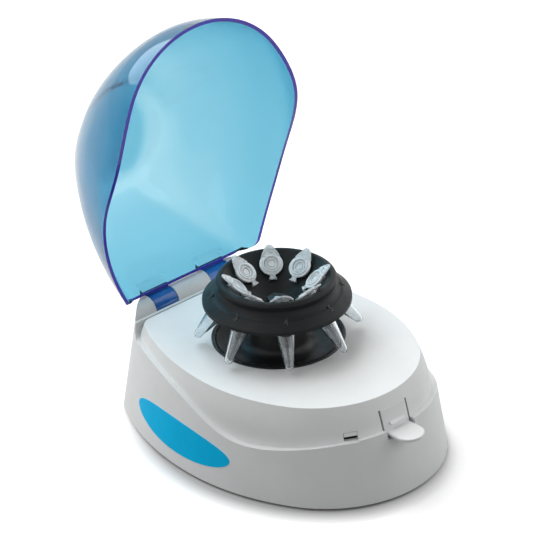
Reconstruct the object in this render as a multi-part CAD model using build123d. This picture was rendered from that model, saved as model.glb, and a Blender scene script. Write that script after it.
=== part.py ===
from build123d import *

# Bench mini centrifuge with a hinged dome lid and an eight-place rotor.
# Millimetres, +Z up, -Y is the front with the latch, +Y is the back with the hinge.
# The lid is built closed about the rotor's axis and then swung open about its hinge.

import os
from dataclasses import dataclass
from math import acos, cos, pi, radians, sin, sqrt, tan

# Levels of the casing
BASE_Z = 1.5
SHELL_Z = 45.0
FOOT_Z = 30.0
DECK_Z = 58.8

# Longer than anything it cuts, and how far a cut passes the face that it opens
REACH = 400.0
PASS = 1.0

# Walls and clearances of the mouldings
WALL = 2.5
UPPER_WALL = 2.2
DECK_THICK = 2.5
DECK_ROUND = 1.2
LID_WALL = 2.2
LID_GAP = 0.7
SEAT_GAP = 0.3
CUT_GAP = 0.4
SLIDE_GAP = 0.3

# Every outline of casing and lid turns through these angles on its way from nose to back
TURNS = (60.0, 30.0, 28.0, 62.0)

# Side view of the ledge that the lid rests on: it dips at the sides and climbs to the deck
LEDGE_CURVE = ((-125.0, 42.6), (-70.0, 35.8), (-38.0, 33.3), (0.0, 44.3), (30.0, 50.2), (64.0, 50.9))
LEDGE_STEP_R = 6.5
BACK_CEILING_Z = 46.5
BACK_CEILING_Y = 64.0

# Hinge
HINGE_Y = 80.5
HINGE_Z = 57.4
OPEN_ANGLE = 88.45
RAIL_R = 8.1
KNUCKLE_R = 7.8
KNUCKLE_INNER_X = 13.3
KNUCKLE_WIDTH = 17.0
PIN_R = 1.5
PIN_FIT = 0.02
PIN_RUNNING = 0.06
PIN_START_X = 9.5
PIN_SPARE = 0.5
PIN_LENGTH = 28.0

# Lid
LID_FOOT_Z = 30.0
LID_VERTEX_Z = 120.0
LID_ROUND_Z = 112.0
LID_TOP_Z = 120.0
LID_CROWN_WALL = 2.0
LID_LEVELS = 6
CROWN_LEVELS = 5
CROWN_LEAN = 0.6
WEB_FOOT = 1.1
WEB_HEAD = 3.08

# Latch
TONGUE_HALF = 9.5
TONGUE_SLOT = 1.2
TONGUE_TOP_Z = 51.4
TONGUE_BAND = 6.0
PAD_TOP_Z = 39.4
PAD_THICK = 2.0
PAD_ROUND = 0.6
PAD_HALF = 9.0
PAD_SHOULDER_Y = -109.5
PAD_TIP_Y = -116.5
PAD_DROP = 1.4
HOOK_HALF = 5.4
HOOK_Z = 42.4
HOOK_HEIGHT = 1.8
HOOK_NOSE = 0.72
HOOK_REACH = 1.6
GROOVE_DEPTH = 1.1
GROOVE_HALF = 7.0
GROOVE_HEIGHT = 2.6
GROOVE_DROP = 0.1

# Lid switch behind a window in the upper wall
SWITCH_ANGLE = -27.0
SWITCH_Z = 42.0
PLUNGER_WIDTH = 7.8
PLUNGER_HEIGHT = 4.2
PLUNGER_LENGTH = 7.4
PLUNGER_PROUD = 0.4
PLUNGER_TRAVEL = 1.5
SWITCH_WALL = 1.8
SWITCH_DEPTH = 12.0

# Flared cowl in the deck under the rotor, as radius and height
COWL_R = 39.1
COWL_RIM = 0.9
COWL_RIM_ROUND = 0.8
COWL_SEAT_R = 36.0
COWL_WALL = 2.0
COWL_MIDDLE = (31.0, 55.9)
COWL_FLOOR = (24.0, 53.5)
COWL_FOOT = (18.9, 54.4)
COWL_WAIST = (16.5, 57.5)
COWL_TOP_R = 14.5
COWL_TOP_Z = 68.0
COWL_SHOULDER = 1.6

# Rubber ring that closes the cowl round the shaft
SEAL_R = 6.0
SEAL_LIP = 1.5
SEAL_LIP_THICK = 0.8
SEAL_BORE_R = 3.0

# Rotor, as radius and height
TUBE_TILT = 40.0
TUBE_COUNT = 8
FIRST_TUBE = -124.62
DISH_R = 8.0
DISH_Z = 79.0
RIDGE_INNER_R = 31.0
RIDGE_R = 35.0
RIDGE_Z = 98.6
RIDGE_END_Z = 96.6
GROOVE_TOP = (34.2, 93.5)
GROOVE_MIDDLE = (34.6, 92.0)
GROOVE_END = (38.4, 89.0)
SKIRT_R = 43.4
SKIRT_Z = 85.1
SKIRT_LIP = 2.0
DISH_THICK = 8.0
UNDER_Z = 89.0
HUB_R = 12.0
HUB_END_R = 9.0
HUB_Z = 70.0
PLACE_R = 23.8
NUT_R = 6.2
NUT_HEIGHT = 5.0

# Tubes, along their own axis
TUBE_R = 5.4
TUBE_HOLE_GAP = 0.15
TUBE_STRAIGHT = 17.0
TUBE_LENGTH = 38.3
TUBE_TIP_R = 2.6
COLLAR_R = 6.5
COLLAR_THICK = 1.6
CAP_R = 6.9
CAP_THICK = 1.9
CAP_BEVEL = 0.5
CAP_RING_R = 4.4
CAP_RING_DEPTH = 0.5
TAB_ROOT = 5.5
TAB_WAIST = (7.0, 3.2)
TAB_REACH = 12.0
TAB_RISE = 0.2
TAB_THICK = 1.1
STRAP_WIDTH = 3.4
STRAP_REACH = 9.6
STRAP_THICK = 0.8
STRAP_FOOT = 1.6
STRAP_FOOT_THICK = 0.9

# Drive
SHAFT_R = 2.0
SHAFT_BOTTOM_Z = 24.0
SHAFT_FIT = 0.02
SHAFT_RUNNING = 0.08
SHAFT_BEVEL = 0.4
MOTOR_R = 18.0
MOTOR_BOTTOM_Z = 6.5
MOTOR_TOP_Z = 32.0
MOTOR_ROUND = 2.0
MOTOR_BOSS_R = 5.0
MOTOR_BOSS_GAP = 0.1
MOTOR_BOSS_HEIGHT = 2.5
BEARING_R = 4.0
BEARING_HEIGHT = 2.0
BRACKET_THICK = 2.0
BRACKET_LENGTH = 70.0
BRACKET_DEPTH = 58.0
BRACKET_CORNER_R = 6.0
MOTOR_SCREW_X = 12.5
MOTOR_SCREW_DEPTH = 4.0
GROMMET_X = 28.0
GROMMET_Y = 22.0
GROMMET_R = 6.0
GROMMET_NECK_R = 4.0
GROMMET_FLANGE = 2.0
GROMMET_POST_R = 4.5

# Base, feet and screws
PLATE_THICK = 3.0
PLATE_GAP = 0.2
RUBBER_R = 7.0
RUBBER_HEIGHT = 2.5
RUBBER_POCKET = 1.0
RUBBER_BEVEL = 0.4
FEET_X = 46.0
FEET_Y = 58.0
POST_R = 4.5
POST_FRONT = (50.0, -40.0)
POST_BACK = (46.0, 45.0)
SCREW_R = 1.45
SCREW_GAP = 0.05
SCREW_HEAD_R = 2.8
SCREW_HEAD = 1.5
SCREW_GRIP = 8.0

# Circuit board
BOARD_Y = -60.0
BOARD_LENGTH = 46.0
BOARD_DEPTH = 28.0
BOARD_THICK = 1.6
BOARD_HOLE_X = 20.0
BOARD_HOLE_Y = 11.0
STANDOFF_R = 3.0
STANDOFF_HEIGHT = 5.0
BLOCK_SIZE = (15.0, 8.0, 9.0)
BLOCK_X = -8.0
WIRE_HOLE_R = 1.5
WIRE_HOLE_DEPTH = 3.0
CAPACITOR_R = 4.0
CAPACITOR_HEIGHT = 11.0
CAPACITOR_X = 10.0
CAPACITOR_ROUND = 0.6

# Power inlet and rocker switch in the back wall
INLET_X = 14.0
ROCKER_X = -14.0
REAR_Z = 24.0
INLET_R = 5.0
INLET_BODY = (11.0, 13.0, 12.0)
SOCKET_R = 3.2
SOCKET_DEPTH = 10.0
CONTACT_R = 1.05
CONTACT_LENGTH = 8.0
NUT_RING_R = 7.2
NUT_RING_THICK = 1.6
NUT_RING_GAP = 0.1
ROCKER_BODY = (13.0, 12.6, 20.0)
ROCKER_FLANGE = (15.6, 1.6, 22.6)
ROCKER_FLANGE_ROUND = 1.5
ROCKER_HALF = 5.2
ROCKER_POCKET_R = 8.7
ROCKER_PIVOT_DEPTH = 1.6
ROCKER_TILT = 8.0
ROCKER_REACH = 7.6
ROCKER_PROUD = 3.4
ROCKER_DIP = 1.7
ROCKER_HEEL = (-1.5, 7.0)
ROCKER_KEEL = -4.5
TRUNNION_R = 1.2
TRUNNION_LENGTH = 1.0
TRUNNION_SPARE = 0.1

# Oval label on the left wall, with nothing printed on it
LABEL_Y = 8.5
LABEL_Z = 19.8
LABEL_HALF_LENGTH = 44.0
LABEL_HALF_HEIGHT = 10.2
LABEL_THICK = 0.25


@dataclass(frozen=True)
class Outline:
    """One side of a level outline: its foremost point and the radii of its four arcs."""

    nose: float
    radii: tuple


# Outlines of the casing at its foot and higher up, of the wall under the deck and of the lid
CASING_LOW = Outline(-109.6, (68.0, 137.5, 177.5, 21.7))
CASING_HIGH = Outline(-101.5, (65.3, 116.0, 172.0, 33.2))
UPPER_LOW = Outline(-101.7, (65.2, 113.8, 175.0, 10.0))
UPPER_HIGH = Outline(-93.3, (63.4, 91.6, 184.9, 5.0))
LID_FOOT = Outline(-102.7, (66.0, 118.8, 172.8, 10.9))
LID_CROWN = Outline(-25.8, (29.6, 29.6, 29.6, 29.6))


def blend(first, second, share):
    """The outline that lies a given share of the way from the first to the second."""
    radii = tuple(a + (b - a) * share for a, b in zip(first.radii, second.radii))
    return Outline(first.nose + (second.nose - first.nose) * share, radii)


def inset(outline, depth):
    """The same outline, drawn in by a wall thickness."""
    return Outline(outline.nose + depth, tuple(radius - depth for radius in outline.radii))


def outline_wire(outline, level):
    """The closed outline at a level: four arcs a side and a straight back."""
    right = []
    point = Vector(0, outline.nose)
    heading = 0.0
    for radius, turn in zip(outline.radii, TURNS):
        centre = point + Vector(-sin(radians(heading)), cos(radians(heading))) * radius
        stops = [radians(heading + turn * share) for share in (0.5, 1.0)]
        middle, end = [centre + Vector(sin(angle), -cos(angle)) * radius for angle in stops]
        right.append((point, middle, end))
        point = end
        heading += turn
    edges = [ThreePointArc(*(Vector(p.X, p.Y, level) for p in arc)) for arc in right]
    edges.append(Line((point.X, point.Y, level), (-point.X, point.Y, level)))
    for arc in reversed(right):
        edges.append(ThreePointArc(*(Vector(-p.X, p.Y, level) for p in reversed(arc))))
    return Wire(edges)


def tapered(low, low_z, high, high_z, depth, start_z, end_z):
    """Straight-walled solid through two outlines, drawn in by a depth."""
    sections = []
    for level in (start_z, end_z):
        share = (level - low_z) / (high_z - low_z)
        sections.append(outline_wire(inset(blend(low, high, share), depth), level))
    return Solid.make_loft(sections, ruled=True)


def casing_solid(depth, start_z=BASE_Z, end_z=HINGE_Z + RAIL_R + PASS):
    """The casing's outer form, drawn in by a depth."""
    return tapered(CASING_LOW, BASE_Z, CASING_HIGH, SHELL_Z, depth, start_z, end_z)


def upper_solid(depth, start_z=FOOT_Z + PASS, end_z=DECK_Z):
    """The form of the wall between ledge and deck, drawn in by a depth."""
    return tapered(UPPER_LOW, FOOT_Z, UPPER_HIGH, DECK_Z, depth, start_z, end_z)


def lid_outline(level, depth):
    """The closed lid's outline at a level: a parabola takes it from foot to crown."""
    rise = (level - LID_FOOT_Z) / (LID_VERTEX_Z - LID_FOOT_Z)
    return inset(blend(LID_FOOT, LID_CROWN, rise**2), depth)


def lid_solid(depth, top=LID_TOP_Z):
    """The closed lid's form, drawn in by a depth, with a rounded crown."""
    sections = []
    for step in range(LID_LEVELS + 1):
        level = LID_FOOT_Z + (LID_ROUND_Z - LID_FOOT_Z) * step / LID_LEVELS
        sections.append(outline_wire(lid_outline(level, depth), level))
    rim = lid_outline(LID_ROUND_Z, depth)
    widths = LID_CROWN.nose - LID_FOOT.nose
    slope = 2 * (LID_ROUND_Z - LID_FOOT_Z) / (LID_VERTEX_Z - LID_FOOT_Z) ** 2 * widths * CROWN_LEAN
    start = acos(1 / sqrt(1 + slope**2))
    crown_r = (top - LID_ROUND_Z) / (1 - sin(start))
    for step in range(1, CROWN_LEVELS + 1):
        angle = start + (pi / 2 - start) * step / CROWN_LEVELS
        level = LID_ROUND_Z + crown_r * (sin(angle) - sin(start))
        drawn_in = crown_r * (cos(start) - cos(angle))
        sections.append(outline_wire(inset(rim, drawn_in), level))
    return Solid.make_loft(sections, ruled=False)


def across(edges):
    """A side-view outline, as (y, z) edges, run through the whole width."""
    return extrude(Plane.YZ * make_face(edges), amount=REACH / 2, both=True)


def polygon(points):
    """Straight edges round a list of points."""
    return [Line(a, b) for a, b in zip(points, points[1:] + points[:1])]


def block(x_range, y_range, z_range):
    """A box between limits."""
    size = [high - low for low, high in (x_range, y_range, z_range)]
    centre = [(high + low) / 2 for low, high in (x_range, y_range, z_range)]
    return Pos(*centre) * Box(*size)


def rod(radius, low, high, x=0.0, y=0.0):
    """An upright cylinder between two levels."""
    return Pos(x, y, (low + high) / 2) * Cylinder(radius, high - low)


def rod_x(radius, low, high, y, z):
    """A cylinder along X between two limits."""
    return Pos((low + high) / 2, y, z) * Rot(0, 90, 0) * Cylinder(radius, high - low)


def rod_y(radius, low, high, x, z):
    """A cylinder along Y between two limits."""
    return Pos(x, (low + high) / 2, z) * Rot(90, 0, 0) * Cylinder(radius, high - low)


def turned(points):
    """A solid of revolution about Z from an (r, z) outline of points."""
    return revolve(Plane.XZ * make_face(polygon(points)), Axis.Z)


def mirrored(position):
    """A place and its mirror image across the middle."""
    return [position, (-position[0], position[1])]


def ledge_edges(gap):
    """The ledge in side view, raised by a gap, up to the level of the deck."""
    curve = Spline(*[(y, z + gap) for y, z in LEDGE_CURVE])
    end_y, end_z = LEDGE_CURVE[-1]
    radius = LEDGE_STEP_R - gap
    centre_z = end_z + LEDGE_STEP_R
    diagonal = radius * sin(pi / 4)
    bend = ThreePointArc(
        (end_y, end_z + gap),
        (end_y + diagonal, centre_z - diagonal),
        (end_y + radius, centre_z),
    )
    rise = Line((end_y + radius, centre_z), (end_y + radius, DECK_Z + gap))
    return [curve, bend, rise]


def below(edges, floor_z):
    """Close a run of side-view edges round the space below it."""
    first = edges[0] @ 0
    last = edges[-1] @ 1
    walls = [
        Line(last, (last.X, floor_z)),
        Line((last.X, floor_z), (first.X, floor_z)),
        Line((first.X, floor_z), first),
    ]
    return across(edges + walls)


def casing_profile():
    """Side view of the casing: ledge, deck level and the round hinge rail."""
    edges = ledge_edges(0.0)
    rail_front = HINGE_Y - sqrt(RAIL_R**2 - (DECK_Z - HINGE_Z) ** 2)
    edges.append(Line(edges[-1] @ 1, (rail_front, DECK_Z)))
    edges.append(
        ThreePointArc((rail_front, DECK_Z), (HINGE_Y, HINGE_Z + RAIL_R), (HINGE_Y + RAIL_R, HINGE_Z))
    )
    return below(edges, 0.0)


def cavity_profile():
    """Side view of the space under the ledge, lower under the hinge rail."""
    curve = Spline(*[(y, z - WALL) for y, z in LEDGE_CURVE])
    end = curve @ 1
    down = Line(end, (BACK_CEILING_Y, BACK_CEILING_Z))
    back = Line((BACK_CEILING_Y, BACK_CEILING_Z), (HINGE_Y + REACH, BACK_CEILING_Z))
    return below([curve, down, back], 0.0)


def screw_posts():
    """Where the base's screws reach up into the casing."""
    return mirrored(POST_FRONT) + mirrored(POST_BACK)


def wall_frame(depth):
    """A plane on the upper wall at the lid switch, its Z pointing out of the wall."""
    share = (SWITCH_Z - FOOT_Z) / (DECK_Z - FOOT_Z)
    outline = blend(UPPER_LOW, UPPER_HIGH, share)
    radius = outline.radii[0]
    angle = radians(SWITCH_ANGLE)
    outward = Vector(sin(angle), -cos(angle), 0)
    centre = Vector(0, outline.nose + radius, SWITCH_Z)
    tangent = Vector(cos(angle), sin(angle), 0)
    return Plane(centre + outward * (radius - depth), x_dir=tangent, z_dir=outward)


def wall_box(width, height, outer, inner):
    """A box through the upper wall at the lid switch, between two depths."""
    return wall_frame((outer + inner) / 2) * Box(width, height, inner - outer)


def rear_wall_y():
    """The back wall's outer face at the height of the inlet and the rocker."""
    outline = blend(CASING_LOW, CASING_HIGH, (REAR_Z - BASE_Z) / (SHELL_Z - BASE_Z))
    return (outline_wire(outline, 0).bounding_box()).max.Y


REAR_Y = rear_wall_y()


def hinge_notch(side):
    """Room in the rail for one knuckle, open above and behind."""
    low = KNUCKLE_INNER_X - CUT_GAP
    high = KNUCKLE_INNER_X + KNUCKLE_WIDTH + CUT_GAP
    limits = sorted((side * low, side * high))
    round_cut = rod_x(RAIL_R, *limits, HINGE_Y, HINGE_Z)
    front = HINGE_Y - RAIL_R
    return round_cut + block(limits, (front, HINGE_Y + REACH / 4), (HINGE_Z, HINGE_Z + 2 * RAIL_R))


def make_top_casing():
    """Deck, ledge, walls and hinge rail as one moulding."""
    outer = casing_solid(0.0) & casing_profile()
    upper = upper_solid(0.0)
    upper = fillet(upper.faces().sort_by(Axis.Z)[-1].edges(), DECK_ROUND)
    lid_room = lid_solid(LID_WALL + LID_GAP)
    upper = Part() + upper & lid_room
    hollow = casing_solid(WALL) & cavity_profile()
    upper_hollow = upper_solid(UPPER_WALL, end_z=DECK_Z - DECK_THICK)
    upper_hollow = upper_hollow & lid_solid(LID_WALL + LID_GAP + UPPER_WALL)
    upper_hollow = upper_hollow & block((-REACH, REACH), (-REACH, BACK_CEILING_Y), (0, DECK_Z))
    hollow = hollow + upper_hollow
    for x, y in screw_posts():
        hollow = hollow - rod(POST_R, BASE_Z + PLATE_THICK, DECK_Z, x, y)
    body = (outer + upper) - hollow
    body = body - rod(COWL_SEAT_R + SLIDE_GAP, DECK_Z - DECK_THICK - PASS, DECK_Z + PASS)
    for x, y in screw_posts():
        top = BASE_Z + PLATE_THICK + SCREW_GRIP
        body = body - rod(SCREW_R + SCREW_GAP, BASE_Z, top, x, y)
    slot_half = TONGUE_HALF + TONGUE_SLOT
    slot_z = (PAD_TOP_Z - PAD_THICK - PAD_DROP, TONGUE_TOP_Z + SEAT_GAP)
    body = body - block((-slot_half, slot_half), (-REACH / 2, UPPER_HIGH.nose + TONGUE_BAND), slot_z)
    window = (PLUNGER_WIDTH + 2 * SLIDE_GAP, PLUNGER_HEIGHT + 2 * SLIDE_GAP)
    body = body - wall_box(*window, -4 * UPPER_WALL, 3 * UPPER_WALL)
    body = body - rod_y(INLET_R + SLIDE_GAP, REAR_Y - 2 * WALL, REAR_Y + WALL, INLET_X, REAR_Z)
    half_x = ROCKER_BODY[0] / 2 + PLATE_GAP
    half_z = ROCKER_BODY[2] / 2 + PLATE_GAP
    cut_x = (ROCKER_X - half_x, ROCKER_X + half_x)
    cut_z = (REAR_Z - half_z, REAR_Z + half_z)
    body = body - block(cut_x, (REAR_Y - 2 * WALL, REAR_Y + WALL), cut_z)
    for side in (-1, 1):
        body = body - hinge_notch(side)
        limits = sorted((side * (PIN_START_X - PIN_SPARE), side * REACH / 4))
        body = body - rod_x(PIN_R + PIN_FIT, *limits, HINGE_Y, HINGE_Z)
    return body


def make_lid():
    """The clear dome with its swooping rim, catch groove and two hinge knuckles."""
    shell = lid_solid(0.0) - lid_solid(LID_WALL, LID_TOP_Z - LID_CROWN_WALL)
    edges = ledge_edges(SEAT_GAP)
    edges.append(Line(edges[-1] @ 1, (HINGE_Y + RAIL_R, DECK_Z + SEAT_GAP)))
    shell = shell - below(edges, 0.0)
    groove_low = HOOK_Z - GROOVE_DROP
    groove_z = (groove_low, groove_low + GROOVE_HEIGHT)
    groove_room = block((-GROOVE_HALF, GROOVE_HALF), (-REACH / 2, 0), groove_z)
    shell = shell - (lid_solid(LID_WALL - GROOVE_DEPTH) & groove_room)
    top_z = HINGE_Z + KNUCKLE_R
    wall_y = HINGE_Y - RAIL_R - SEAT_GAP
    web = across(
        polygon(
            [
                (wall_y - WEB_FOOT, DECK_Z + SEAT_GAP),
                (HINGE_Y, DECK_Z + SEAT_GAP),
                (HINGE_Y, top_z),
                (wall_y - WEB_HEAD, top_z),
            ]
        )
    )
    for side in (-1, 1):
        limits = sorted((side * KNUCKLE_INNER_X, side * (KNUCKLE_INNER_X + KNUCKLE_WIDTH)))
        barrel = rod_x(KNUCKLE_R, *limits, HINGE_Y, HINGE_Z)
        tab = web & block(limits, (0, REACH / 2), (0, REACH / 2))
        shell = shell + barrel + tab
        shell = shell - rod_x(PIN_R + PIN_RUNNING, *limits, HINGE_Y, HINGE_Z)
    return shell.rotate(Axis((0, HINGE_Y, HINGE_Z), (1, 0, 0)), -OPEN_ANGLE)


def make_hinge_pins():
    """One steel pin for each knuckle, pushed in from the ends of the rail."""
    pins = []
    for side in (-1, 1):
        limits = sorted((side * PIN_START_X, side * (PIN_START_X + PIN_LENGTH)))
        pins.append(rod_x(PIN_R, *limits, HINGE_Y, HINGE_Z))
    return Compound(children=pins)


def make_latch():
    """The springy tongue of the front wall, with its thumb pad and hook bar."""
    skin = upper_solid(0.0) - upper_solid(UPPER_WALL)
    bottom = PAD_TOP_Z - PAD_THICK
    front = (-REACH / 2, UPPER_HIGH.nose + TONGUE_BAND)
    tongue = skin & block((-TONGUE_HALF, TONGUE_HALF), front, (bottom, TONGUE_TOP_Z))
    root_y = front_wall_y(PAD_TOP_Z) + UPPER_WALL / 2
    pad_edges = [
        Line((-PAD_HALF, PAD_SHOULDER_Y), (-PAD_HALF, root_y)),
        Line((-PAD_HALF, root_y), (PAD_HALF, root_y)),
        Line((PAD_HALF, root_y), (PAD_HALF, PAD_SHOULDER_Y)),
        ThreePointArc((PAD_HALF, PAD_SHOULDER_Y), (0, PAD_TIP_Y), (-PAD_HALF, PAD_SHOULDER_Y)),
    ]
    pad = Pos(0, 0, bottom) * extrude(make_face(pad_edges), amount=PAD_THICK)
    free = [edge for edge in pad.edges().filter_by(Plane.XY) if edge.center().Y < root_y - PASS]
    pad = fillet(free, PAD_ROUND)
    face_y = front_wall_y(HOOK_Z)
    hook = across(
        polygon(
            [
                (face_y + UPPER_WALL / 2, HOOK_Z),
                (face_y - HOOK_REACH, HOOK_Z),
                (face_y - HOOK_REACH, HOOK_Z + HOOK_NOSE),
                (front_wall_y(HOOK_Z + HOOK_HEIGHT), HOOK_Z + HOOK_HEIGHT),
                (face_y + UPPER_WALL / 2, HOOK_Z + HOOK_HEIGHT),
            ]
        )
    )
    hook = hook & block((-HOOK_HALF, HOOK_HALF), front, (HOOK_Z - PASS, HOOK_Z + HOOK_HEIGHT + PASS))
    return tongue + pad + hook


def front_wall_y(level):
    """The upper wall's outer face at the middle of the front."""
    return blend(UPPER_LOW, UPPER_HIGH, (level - FOOT_Z) / (DECK_Z - FOOT_Z)).nose


def make_switch_housing():
    """Housing of the lid switch, close behind the wall."""
    width = PLUNGER_WIDTH + 2 * SLIDE_GAP + 2 * SWITCH_WALL
    height = PLUNGER_HEIGHT + 2 * SLIDE_GAP + 2 * SWITCH_WALL
    housing = wall_box(width, height, 0.0, SWITCH_DEPTH) & upper_solid(UPPER_WALL + PLATE_GAP)
    pocket_size = (PLUNGER_WIDTH + 2 * SLIDE_GAP, PLUNGER_HEIGHT + 2 * SLIDE_GAP)
    pocket = wall_box(*pocket_size, 0.0, PLUNGER_LENGTH + PLUNGER_TRAVEL + SLIDE_GAP)
    return housing - pocket


def make_plunger():
    """The plunger that the closing lid presses, standing a little proud of the wall."""
    body = wall_box(PLUNGER_WIDTH, PLUNGER_HEIGHT, -4 * PLUNGER_PROUD, PLUNGER_LENGTH)
    return body & upper_solid(-PLUNGER_PROUD)


def sunk(point):
    """A point of the cowl's dish, moved to its underside."""
    return (point[0], point[1] - COWL_WALL)


def make_cowl():
    """Black cowl that hangs in the deck's opening: a shallow dish round a waisted neck."""
    rim_z = DECK_Z + COWL_RIM
    rim = (COWL_R - COWL_RIM_ROUND, rim_z)
    seat = (COWL_SEAT_R, DECK_Z - COWL_WALL)
    shoulder = (COWL_TOP_R, COWL_TOP_Z - COWL_SHOULDER)
    inner_waist = (COWL_WAIST[0] - COWL_WALL, COWL_WAIST[1])
    inner_top = (COWL_TOP_R - COWL_WALL, COWL_TOP_Z - COWL_WALL)
    profile = [
        Line((COWL_R, DECK_Z), (COWL_R, DECK_Z + COWL_RIM / 2)),
        Line((COWL_R, DECK_Z + COWL_RIM / 2), rim),
        ThreePointArc(rim, COWL_MIDDLE, COWL_FLOOR),
        ThreePointArc(COWL_FLOOR, COWL_FOOT, COWL_WAIST),
        Line(COWL_WAIST, shoulder),
        Line(shoulder, (COWL_TOP_R - COWL_SHOULDER, COWL_TOP_Z)),
        Line((COWL_TOP_R - COWL_SHOULDER, COWL_TOP_Z), (SEAL_R, COWL_TOP_Z)),
        Line((SEAL_R, COWL_TOP_Z), (SEAL_R, inner_top[1])),
        Line((SEAL_R, inner_top[1]), inner_top),
        Line(inner_top, inner_waist),
        Line(inner_waist, sunk(COWL_FOOT)),
        Line(sunk(COWL_FOOT), sunk(COWL_FLOOR)),
        ThreePointArc(sunk(COWL_FLOOR), sunk(COWL_MIDDLE), seat),
        Line(seat, (COWL_SEAT_R, DECK_Z)),
        Line((COWL_SEAT_R, DECK_Z), (COWL_R, DECK_Z)),
    ]
    return revolve(Plane.XZ * make_face(profile), Axis.Z)


def make_shaft_seal():
    """Rubber ring that closes the cowl round the shaft."""
    low = COWL_TOP_Z - COWL_WALL
    return turned(
        [
            (SEAL_BORE_R, low),
            (SEAL_R, low),
            (SEAL_R, COWL_TOP_Z),
            (SEAL_R + SEAL_LIP, COWL_TOP_Z),
            (SEAL_R + SEAL_LIP / 2, COWL_TOP_Z + SEAL_LIP_THICK),
            (SEAL_BORE_R, COWL_TOP_Z + SEAL_LIP_THICK),
        ]
    )


def tube_place(index):
    """Plane on the rotor's dish at one place: Z up out of the tube, X away from the centre."""
    turn = FIRST_TUBE + index * 360.0 / TUBE_COUNT
    height = DISH_Z + (PLACE_R - DISH_R) * tan(radians(TUBE_TILT))
    upright = Plane((PLACE_R, 0, height), x_dir=(1, 0, 0), z_dir=(0, 0, 1))
    tilted = upright.rotated((0, -TUBE_TILT, 0))
    return Rot(0, 0, turn) * tilted.location


def make_rotor():
    """Conical rotor: dish, ridge, sloping skirt, hub and eight inclined holes."""
    slope = tan(radians(TUBE_TILT))
    under_r = DISH_THICK * sin(radians(TUBE_TILT))
    under_z = DISH_THICK * cos(radians(TUBE_TILT))
    ridge_inner_z = DISH_Z + (RIDGE_INNER_R - DISH_R) * slope
    under_out_r = DISH_R + under_r + (UNDER_Z - DISH_Z + under_z) / slope
    hub_top_z = DISH_Z - under_z + (HUB_R - DISH_R - under_r) * slope
    inner_lip_r = SKIRT_R - SKIRT_LIP
    outline = [
        Line((0, HUB_Z), (0, DISH_Z)),
        Line((0, DISH_Z), (DISH_R, DISH_Z)),
        Line((DISH_R, DISH_Z), (RIDGE_INNER_R, ridge_inner_z)),
        ThreePointArc(
            (RIDGE_INNER_R, ridge_inner_z),
            ((RIDGE_INNER_R + RIDGE_R) / 2, RIDGE_Z),
            (RIDGE_R, RIDGE_END_Z),
        ),
        Line((RIDGE_R, RIDGE_END_Z), GROOVE_TOP),
        ThreePointArc(GROOVE_TOP, GROOVE_MIDDLE, GROOVE_END),
        Line(GROOVE_END, (SKIRT_R, SKIRT_Z)),
        Line((SKIRT_R, SKIRT_Z), (SKIRT_R, SKIRT_Z - SKIRT_LIP)),
        Line((SKIRT_R, SKIRT_Z - SKIRT_LIP), (inner_lip_r, SKIRT_Z - SKIRT_LIP)),
        Line((inner_lip_r, SKIRT_Z - SKIRT_LIP), (under_out_r, UNDER_Z)),
        Line((under_out_r, UNDER_Z), (HUB_R, hub_top_z)),
        Line((HUB_R, hub_top_z), (HUB_END_R, HUB_Z)),
        Line((HUB_END_R, HUB_Z), (0, HUB_Z)),
    ]
    rotor = revolve(Plane.XZ * make_face(outline), Axis.Z)
    rotor = rotor - rod(SHAFT_R + SHAFT_FIT, HUB_Z - PASS, DISH_Z + PASS)
    seat = rod(CAP_R + SEAT_GAP, 0, TUBE_STRAIGHT / 2)
    hole = rod(TUBE_R + TUBE_HOLE_GAP, -TUBE_STRAIGHT, PASS) + seat
    for index in range(TUBE_COUNT):
        rotor = rotor - tube_place(index) * hole
    return rotor


def make_tube():
    """One closed tube about its own axis: the dish is at Z 0 and the tip points down."""
    nose = TUBE_TIP_R * sin(pi / 4)
    centre_z = TUBE_TIP_R - TUBE_LENGTH
    top = COLLAR_THICK + CAP_THICK
    outline = [
        Line((0, -TUBE_LENGTH), (0, top)),
        Line((0, top), (CAP_R - CAP_BEVEL, top)),
        Line((CAP_R - CAP_BEVEL, top), (CAP_R, top - CAP_BEVEL)),
        Line((CAP_R, top - CAP_BEVEL), (CAP_R, COLLAR_THICK)),
        Line((CAP_R, COLLAR_THICK), (COLLAR_R, COLLAR_THICK)),
        Line((COLLAR_R, COLLAR_THICK), (COLLAR_R, 0)),
        Line((COLLAR_R, 0), (TUBE_R, 0)),
        Line((TUBE_R, 0), (TUBE_R, -TUBE_STRAIGHT)),
        Line((TUBE_R, -TUBE_STRAIGHT), (TUBE_TIP_R, centre_z)),
        ThreePointArc((TUBE_TIP_R, centre_z), (nose, centre_z - nose), (0, -TUBE_LENGTH)),
    ]
    tube = revolve(Plane.XZ * make_face(outline), Axis.Z)
    tube = tube - rod(CAP_RING_R, top - CAP_RING_DEPTH, top + PASS)
    waist_x, waist_half = TAB_WAIST
    tab_edges = [
        Line((0, -TAB_ROOT), (0, TAB_ROOT)),
        ThreePointArc((0, TAB_ROOT), (waist_x, waist_half), (TAB_REACH, 0)),
        ThreePointArc((TAB_REACH, 0), (waist_x, -waist_half), (0, -TAB_ROOT)),
    ]
    tab = Pos(0, 0, COLLAR_THICK + TAB_RISE) * extrude(make_face(tab_edges), amount=TAB_THICK)
    half = STRAP_WIDTH / 2
    strap_low = COLLAR_THICK + TAB_RISE / 2
    strap_top = strap_low + STRAP_THICK
    strap = block((-STRAP_REACH, 0), (-half, half), (strap_low, strap_top))
    foot_x = (-STRAP_REACH, STRAP_FOOT_THICK - STRAP_REACH)
    foot = block(foot_x, (-half, half), (strap_top - STRAP_FOOT, strap_top))
    return tube + tab + strap + foot


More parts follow.
